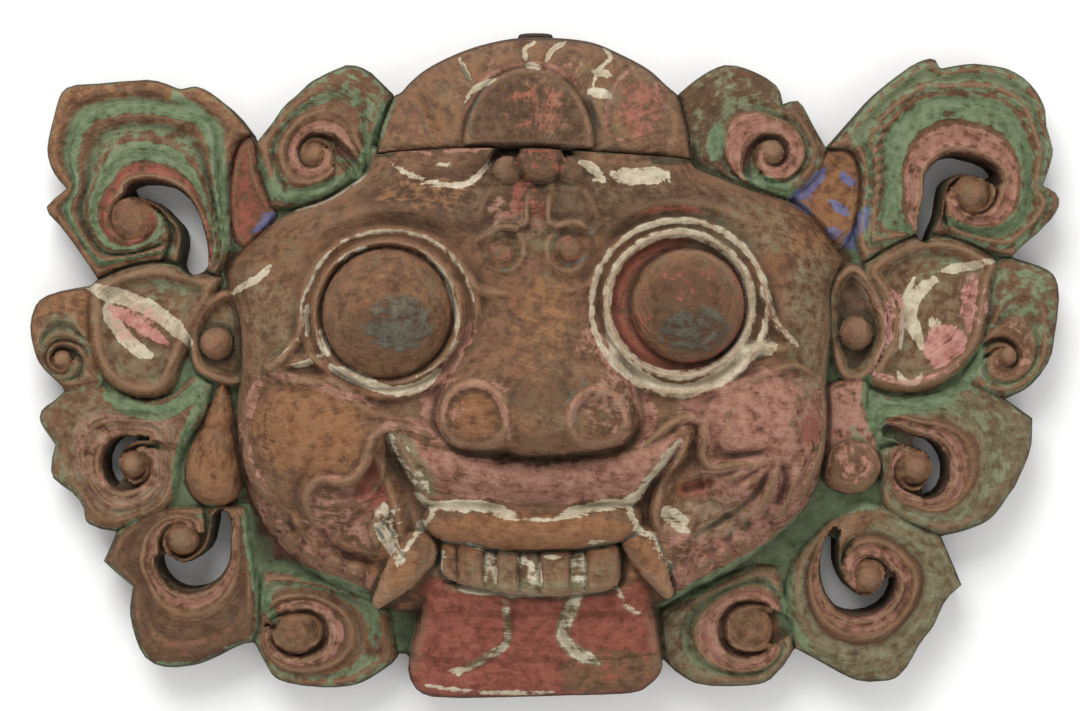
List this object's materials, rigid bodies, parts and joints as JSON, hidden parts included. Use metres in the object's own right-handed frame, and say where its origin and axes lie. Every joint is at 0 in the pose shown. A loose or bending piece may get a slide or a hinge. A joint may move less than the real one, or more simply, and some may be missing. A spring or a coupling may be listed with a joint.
{
  "type": "wall mask",
  "caption": "Carved and painted wooden barong mask: a beast's face with round eyes, bared teeth and a long tongue, ringed by pierced leaf scrolls.",
  "frame": {"origin": "middle of the flat back, under the middle of the mask's overall width and height", "axes": "+X to the right of someone facing the mask, +Y to the top of the head, +Z out of the face; the mask lies on its back"},
  "size_m": [0.7006, 0.4538, 0.155],
  "materials": {
    "painted_wood": "worn matte paint over bare brown wood",
    "crown_wood": "worn matte paint over bare brown wood",
    "wire": "dark rusty iron wire"
  },
  "bodies": {
    "root": {"mask": "painted_wood", "crown_block": "crown_wood", "hanging_loop": "wire"}
  },
  "joints": []
}
